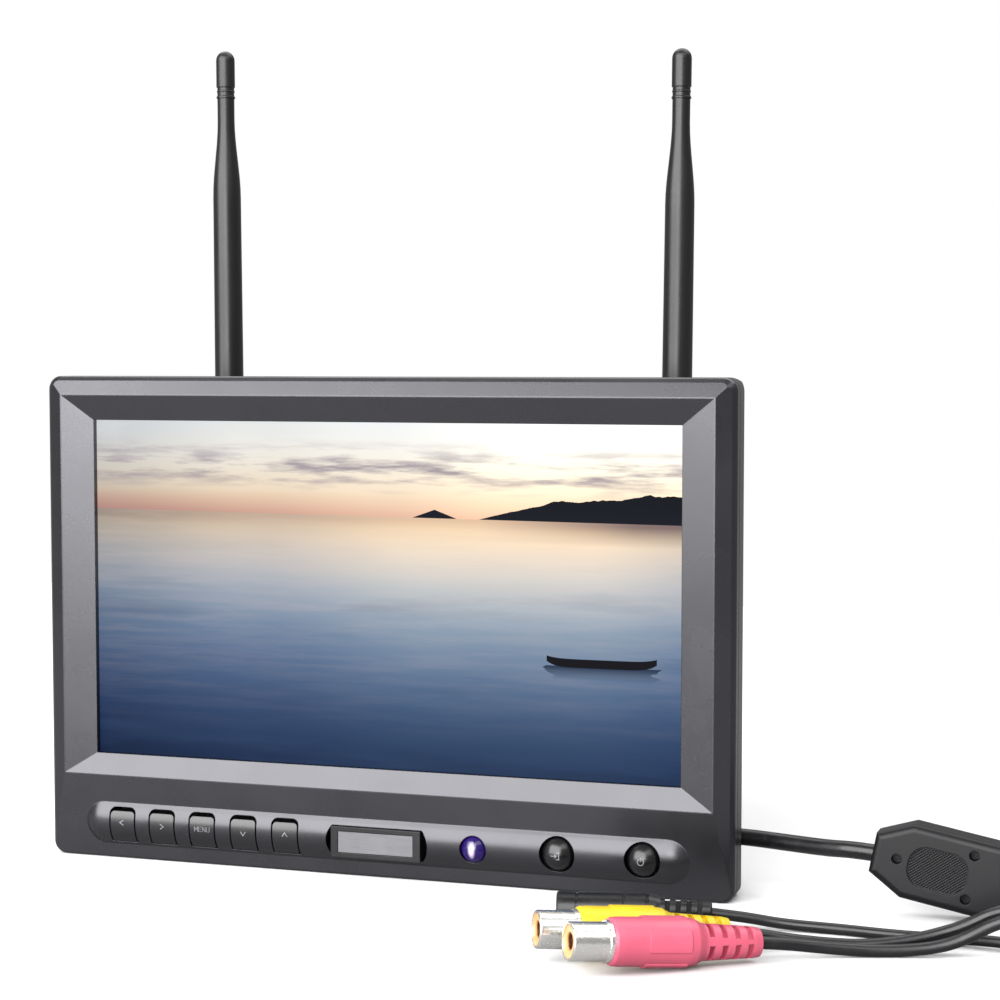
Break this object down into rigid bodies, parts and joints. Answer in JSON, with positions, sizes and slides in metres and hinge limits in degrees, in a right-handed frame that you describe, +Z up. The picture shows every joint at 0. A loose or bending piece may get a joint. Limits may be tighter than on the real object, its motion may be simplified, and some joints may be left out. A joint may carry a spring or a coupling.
{
  "type": "dashboard monitor with breakout cable",
  "caption": "Stand-alone backup camera monitor with a wide screen, front keys, two folding aerials and a breakout cable ending in phono sockets and a power jack",
  "frame": {"origin": "middle of the footprint of the monitor with its aerials, on the surface it stands on", "axes": "+Z up along the aerials, -Y the way the screen faces, +X to the right of the screen as seen from behind the viewer"},
  "size_m": [0.2705, 0.1322, 0.2139],
  "materials": {
    "housing_plastic": "fine satin-grained dark grey moulded plastic",
    "key_plastic": "satin dark grey keys",
    "dome_button": "glossy black domes",
    "ir_window": "dark violet infrared window",
    "label_frame": "dark satin frame",
    "label_metal": "blank brushed plate",
    "lcd_glass": "lit picture behind a smooth polariser",
    "foam": "black foam strip",
    "light_guide": "clear acrylic light guide",
    "tin_plate": "pressed tin plate",
    "circuit_board": "green solder-masked board",
    "components": "black moulded components",
    "screw_steel": "black zinc-plated steel",
    "brass_insert": "knurled brass",
    "gold_connector": "gold-plated connector",
    "aerial_plastic": "smooth satin black aerial",
    "collar_metal": "black chromated fluted nut",
    "pin_steel": "steel pin",
    "coax": "thin black coaxial tail",
    "cable_rubber": "black cable jacket",
    "plug_white": "white nylon plug",
    "box_plastic": "black moulded box",
    "jack_black": "black moulded jack",
    "nickel": "nickel-plated barrel",
    "insulator_tan": "tan insulator",
    "contact_copper": "coppery spring contact",
    "video_yellow": "yellow moulded hood",
    "audio_red": "red moulded hood"
  },
  "bodies": {
    "root": {"front_frame": "housing_plastic", "rear_cover": "housing_plastic", "ir_lens": "ir_window", "label_surround": "label_frame", "label_plate": "label_metal", "lcd_panel": "lcd_glass", "screen_gasket": "foam", "light_guide": "light_guide", "backlight_tray": "tin_plate", "tuner_shields": "tin_plate", "key_board": "circuit_board", "main_board": "circuit_board", "box_board": "circuit_board", "board_parts": "components", "key_board_parts": "components", "speaker": "components", "housing_screws": "screw_steel", "board_screws": "screw_steel", "box_screws": "screw_steel", "mount_inserts": "brass_insert", "left_aerial_jack": "gold_connector", "right_aerial_jack": "gold_connector", "jack_nuts": "gold_connector", "left_aerial_tail": "coax", "right_aerial_tail": "coax", "main_cable": "cable_rubber", "audio_lead": "cable_rubber", "video_lead": "cable_rubber", "power_lead": "cable_rubber", "cable_grommet": "cable_rubber", "lead_clamp": "cable_rubber", "cable_plug": "plug_white", "box_front_shell": "box_plastic", "box_rear_shell": "box_plastic", "power_jack_hood": "jack_black", "video_socket_barrel": "nickel", "audio_socket_barrel": "nickel", "power_jack_contacts": "nickel", "video_socket_insulator": "insulator_tan", "audio_socket_insulator": "insulator_tan", "socket_contacts": "contact_copper", "video_socket_hood": "video_yellow", "audio_socket_hood": "audio_red"},
    "left_key": {"left_key": "key_plastic"},
    "right_key": {"right_key": "key_plastic"},
    "menu_key": {"menu_key": "key_plastic"},
    "down_key": {"down_key": "key_plastic"},
    "up_key": {"up_key": "key_plastic"},
    "source_button": {"source_button": "dome_button"},
    "power_button": {"power_button": "dome_button"},
    "left_swivel": {"left_aerial_collar": "collar_metal", "left_aerial_knuckle": "aerial_plastic", "left_hinge_pin": "pin_steel"},
    "left_whip": {"left_aerial_whip": "aerial_plastic", "left_aerial_tip": "aerial_plastic"},
    "right_swivel": {"right_aerial_collar": "collar_metal", "right_aerial_knuckle": "aerial_plastic", "right_hinge_pin": "pin_steel"},
    "right_whip": {"right_aerial_whip": "aerial_plastic", "right_aerial_tip": "aerial_plastic"}
  },
  "joints": [
    {"name": "left_key_press", "type": "slide", "parent": "root", "child": "left_key", "axis": [0, 1, 0], "range_m": [0, 0.0005], "stiffness_N_per_m": 1200},
    {"name": "right_key_press", "type": "slide", "parent": "root", "child": "right_key", "axis": [0, 1, 0], "range_m": [0, 0.0005], "stiffness_N_per_m": 1200},
    {"name": "menu_key_press", "type": "slide", "parent": "root", "child": "menu_key", "axis": [0, 1, 0], "range_m": [0, 0.0005], "stiffness_N_per_m": 1200},
    {"name": "down_key_press", "type": "slide", "parent": "root", "child": "down_key", "axis": [0, 1, 0], "range_m": [0, 0.0005], "stiffness_N_per_m": 1200},
    {"name": "up_key_press", "type": "slide", "parent": "root", "child": "up_key", "axis": [0, 1, 0], "range_m": [0, 0.0005], "stiffness_N_per_m": 1200},
    {"name": "source_button_press", "type": "slide", "parent": "root", "child": "source_button", "axis": [0, 1, 0], "range_m": [0, 0.0005], "stiffness_N_per_m": 1200},
    {"name": "power_button_press", "type": "slide", "parent": "root", "child": "power_button", "axis": [0, 1, 0], "range_m": [0, 0.0005], "stiffness_N_per_m": 1200},
    {"name": "left_aerial_swivel", "type": "hinge", "parent": "root", "child": "left_swivel", "pos_m": [-0.0636, 0.0049, 0.11], "axis": [0, 1, 0], "continuous": true},
    {"name": "left_aerial_fold", "type": "hinge", "parent": "left_swivel", "child": "left_whip", "pos_m": [-0.0636, 0.0266, 0.11], "axis": [1, 0, 0.0052], "range_deg": [-90, 0]},
    {"name": "right_aerial_swivel", "type": "hinge", "parent": "root", "child": "right_swivel", "pos_m": [0.0636, 0.0049, 0.1054], "axis": [0, 1, 0], "continuous": true},
    {"name": "right_aerial_fold", "type": "hinge", "parent": "right_swivel", "child": "right_whip", "pos_m": [0.0636, 0.0266, 0.1054], "axis": [0.9999, 0, -0.0105], "range_deg": [-90, 0]}
  ]
}
